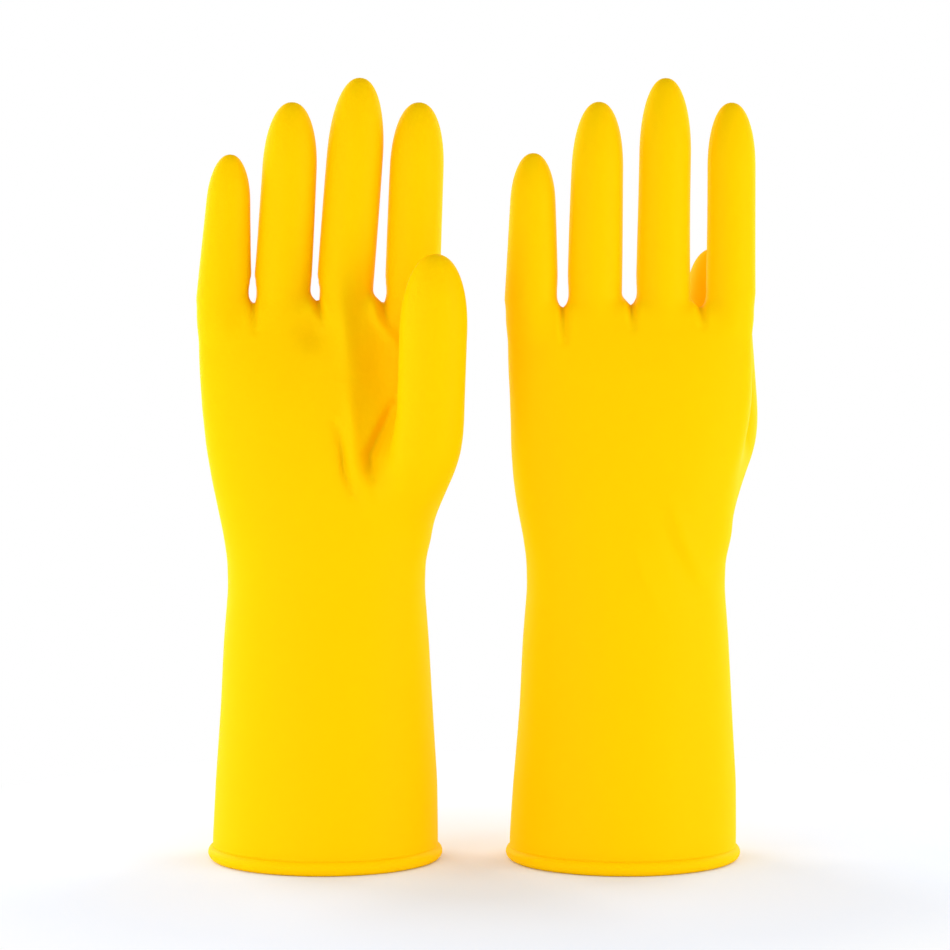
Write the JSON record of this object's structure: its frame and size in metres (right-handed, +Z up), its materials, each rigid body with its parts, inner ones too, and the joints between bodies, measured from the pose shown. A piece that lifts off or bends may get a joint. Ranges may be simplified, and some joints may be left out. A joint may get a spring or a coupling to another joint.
{
  "type": "household rubber gloves",
  "caption": "Pair of long flock-lined rubber gloves with flared cuffs and rolled hems, standing fingers up.",
  "frame": {"origin": "on the floor, midway between the outer edges of the two gloves", "axes": "+Z up along the fingers, -Y towards the viewer, +X to the viewer's right; the right-hand glove stands at -X with its palm to -Y"},
  "size_m": [0.2163, 0.0846, 0.301],
  "materials": {
    "latex": "satin"
  },
  "bodies": {
    "right_gauntlet": {"right_cuff_bead": "latex", "right_cuff": "latex", "right_wrist_flex": "latex"},
    "right_palm": {"right_hand": "latex", "right_index_root_flex": "latex", "right_middle_root_flex": "latex", "right_ring_root_flex": "latex", "right_little_root_flex": "latex", "right_thumb_root_flex": "latex"},
    "right_index_lower": {"right_index_lower": "latex", "right_index_mid_flex": "latex"},
    "right_index_tip": {"right_index_tip": "latex"},
    "right_middle_lower": {"right_middle_lower": "latex", "right_middle_mid_flex": "latex"},
    "right_middle_tip": {"right_middle_tip": "latex"},
    "right_ring_lower": {"right_ring_lower": "latex", "right_ring_mid_flex": "latex"},
    "right_ring_tip": {"right_ring_tip": "latex"},
    "right_little_lower": {"right_little_lower": "latex", "right_little_mid_flex": "latex"},
    "right_little_tip": {"right_little_tip": "latex"},
    "right_thumb_lower": {"right_thumb_lower": "latex", "right_thumb_mid_flex": "latex"},
    "right_thumb_tip": {"right_thumb_tip": "latex"},
    "left_gauntlet": {"left_cuff_bead": "latex", "left_cuff": "latex", "left_wrist_flex": "latex"},
    "left_palm": {"left_hand": "latex", "left_index_root_flex": "latex", "left_middle_root_flex": "latex", "left_ring_root_flex": "latex", "left_little_root_flex": "latex", "left_thumb_root_flex": "latex"},
    "left_index_lower": {"left_index_lower": "latex", "left_index_mid_flex": "latex"},
    "left_index_tip": {"left_index_tip": "latex"},
    "left_middle_lower": {"left_middle_lower": "latex", "left_middle_mid_flex": "latex"},
    "left_middle_tip": {"left_middle_tip": "latex"},
    "left_ring_lower": {"left_ring_lower": "latex", "left_ring_mid_flex": "latex"},
    "left_ring_tip": {"left_ring_tip": "latex"},
    "left_little_lower": {"left_little_lower": "latex", "left_little_mid_flex": "latex"},
    "left_little_tip": {"left_little_tip": "latex"},
    "left_thumb_lower": {"left_thumb_lower": "latex", "left_thumb_mid_flex": "latex"},
    "left_thumb_tip": {"left_thumb_tip": "latex"}
  },
  "joints": [
    {"name": "right_wrist_bend", "type": "hinge", "parent": "right_gauntlet", "child": "right_palm", "pos_m": [-0.05958, 0, 0.10731], "axis": [1, 0, 0], "range_deg": [-40, 40], "stiffness_Nm_per_rad": 0.8, "deforming": ["right_wrist_flex"]},
    {"name": "right_index_root_bend", "type": "hinge", "parent": "right_palm", "child": "right_index_lower", "pos_m": [-0.02615, 0, 0.22933], "axis": [0.9995, 0, -0.0332], "range_deg": [-15, 60], "stiffness_Nm_per_rad": 0.05, "deforming": ["right_index_root_flex"]},
    {"name": "right_index_middle_bend", "type": "hinge", "parent": "right_index_lower", "child": "right_index_tip", "pos_m": [-0.02519, 0, 0.2582], "axis": [0.9995, 0, -0.0332], "range_deg": [-10, 65], "stiffness_Nm_per_rad": 0.05, "deforming": ["right_index_mid_flex"]},
    {"name": "right_middle_root_bend", "type": "hinge", "parent": "right_palm", "child": "right_middle_lower", "pos_m": [-0.05121, 0, 0.22956], "axis": [0.998, 0, -0.0628], "range_deg": [-15, 65], "stiffness_Nm_per_rad": 0.05, "deforming": ["right_middle_root_flex"]},
    {"name": "right_middle_middle_bend", "type": "hinge", "parent": "right_middle_lower", "child": "right_middle_tip", "pos_m": [-0.0492, 0, 0.26154], "axis": [0.998, 0, -0.0628], "range_deg": [-10, 65], "stiffness_Nm_per_rad": 0.05, "deforming": ["right_middle_mid_flex"]},
    {"name": "right_ring_root_bend", "type": "hinge", "parent": "right_palm", "child": "right_ring_lower", "pos_m": [-0.07534, 0, 0.22934], "axis": [0.9988, 0, -0.0489], "range_deg": [-15, 65], "stiffness_Nm_per_rad": 0.05, "deforming": ["right_ring_root_flex"]},
    {"name": "right_ring_middle_bend", "type": "hinge", "parent": "right_ring_lower", "child": "right_ring_tip", "pos_m": [-0.07392, 0, 0.25836], "axis": [0.9988, 0, -0.0489], "range_deg": [-10, 65], "stiffness_Nm_per_rad": 0.05, "deforming": ["right_ring_mid_flex"]},
    {"name": "right_little_root_bend", "type": "hinge", "parent": "right_palm", "child": "right_little_lower", "pos_m": [-0.09772, 0, 0.225], "axis": [0.999, 0, -0.0454], "range_deg": [-15, 65], "stiffness_Nm_per_rad": 0.05, "deforming": ["right_little_root_flex"]},
    {"name": "right_little_middle_bend", "type": "hinge", "parent": "right_little_lower", "child": "right_little_tip", "pos_m": [-0.09668, 0, 0.24779], "axis": [0.999, 0, -0.0454], "range_deg": [-10, 65], "stiffness_Nm_per_rad": 0.05, "deforming": ["right_little_mid_flex"]},
    {"name": "right_thumb_root_bend", "type": "hinge", "parent": "right_palm", "child": "right_thumb_lower", "pos_m": [-0.01834, -0.02407, 0.18842], "axis": [0.0041, 0.9877, 0.1564], "range_deg": [-35, 25], "stiffness_Nm_per_rad": 0.05, "deforming": ["right_thumb_root_flex"]},
    {"name": "right_thumb_middle_bend", "type": "hinge", "parent": "right_thumb_lower", "child": "right_thumb_tip", "pos_m": [-0.01772, -0.0278, 0.21192], "axis": [0.0041, 0.9877, 0.1564], "range_deg": [-45, 10], "stiffness_Nm_per_rad": 0.05, "deforming": ["right_thumb_mid_flex"]},
    {"name": "left_wrist_bend", "type": "hinge", "parent": "left_gauntlet", "child": "left_palm", "pos_m": [0.05582, 0, 0.10731], "axis": [-1, 0, 0], "range_deg": [-40, 40], "stiffness_Nm_per_rad": 0.8, "deforming": ["left_wrist_flex"]},
    {"name": "left_index_root_bend", "type": "hinge", "parent": "left_palm", "child": "left_index_lower", "pos_m": [0.09562, 0, 0.22933], "axis": [-1, 0, -0.0052], "range_deg": [-15, 60], "stiffness_Nm_per_rad": 0.05, "deforming": ["left_index_root_flex"]},
    {"name": "left_index_middle_bend", "type": "hinge", "parent": "left_index_lower", "child": "left_index_tip", "pos_m": [0.09547, 0, 0.25822], "axis": [-1, 0, -0.0052], "range_deg": [-10, 65], "stiffness_Nm_per_rad": 0.05, "deforming": ["left_index_mid_flex"]},
    {"name": "left_middle_root_bend", "type": "hinge", "parent": "left_palm", "child": "left_middle_lower", "pos_m": [0.07076, 0, 0.22958], "axis": [-1, 0, 0.0087], "range_deg": [-15, 65], "stiffness_Nm_per_rad": 0.05, "deforming": ["left_middle_root_flex"]},
    {"name": "left_middle_middle_bend", "type": "hinge", "parent": "left_middle_lower", "child": "left_middle_tip", "pos_m": [0.07104, 0, 0.26162], "axis": [-1, 0, 0.0087], "range_deg": [-10, 65], "stiffness_Nm_per_rad": 0.05, "deforming": ["left_middle_mid_flex"]},
    {"name": "left_ring_root_bend", "type": "hinge", "parent": "left_palm", "child": "left_ring_lower", "pos_m": [0.04455, 0, 0.22936], "axis": [-0.9998, 0, 0.0192], "range_deg": [-15, 65], "stiffness_Nm_per_rad": 0.05, "deforming": ["left_ring_root_flex"]},
    {"name": "left_ring_middle_bend", "type": "hinge", "parent": "left_ring_lower", "child": "left_ring_tip", "pos_m": [0.04511, 0, 0.2584], "axis": [-0.9998, 0, 0.0192], "range_deg": [-10, 65], "stiffness_Nm_per_rad": 0.05, "deforming": ["left_ring_mid_flex"]},
    {"name": "left_little_root_bend", "type": "hinge", "parent": "left_palm", "child": "left_little_lower", "pos_m": [0.02069, 0, 0.22501], "axis": [-0.9999, 0, 0.014], "range_deg": [-15, 65], "stiffness_Nm_per_rad": 0.05, "deforming": ["left_little_root_flex"]},
    {"name": "left_little_middle_bend", "type": "hinge", "parent": "left_little_lower", "child": "left_little_tip", "pos_m": [0.02101, 0, 0.24782], "axis": [-0.9999, 0, 0.014], "range_deg": [-10, 65], "stiffness_Nm_per_rad": 0.05, "deforming": ["left_little_mid_flex"]},
    {"name": "left_thumb_root_bend", "type": "hinge", "parent": "left_palm", "child": "left_thumb_lower", "pos_m": [0.09461, 0.02407, 0.1884], "axis": [0.0109, 0.9877, -0.1561], "range_deg": [-35, 25], "stiffness_Nm_per_rad": 0.05, "deforming": ["left_thumb_root_flex"]},
    {"name": "left_thumb_middle_bend", "type": "hinge", "parent": "left_thumb_lower", "child": "left_thumb_tip", "pos_m": [0.09297, 0.0278, 0.21185], "axis": [0.0109, 0.9877, -0.1561], "range_deg": [-45, 10], "stiffness_Nm_per_rad": 0.05, "deforming": ["left_thumb_mid_flex"]},
    {"name": "left_glove_lift", "type": "slide", "parent": "right_gauntlet", "child": "left_gauntlet", "axis": [0, 0, 1], "range_m": [0, 0.35]}
  ]
}
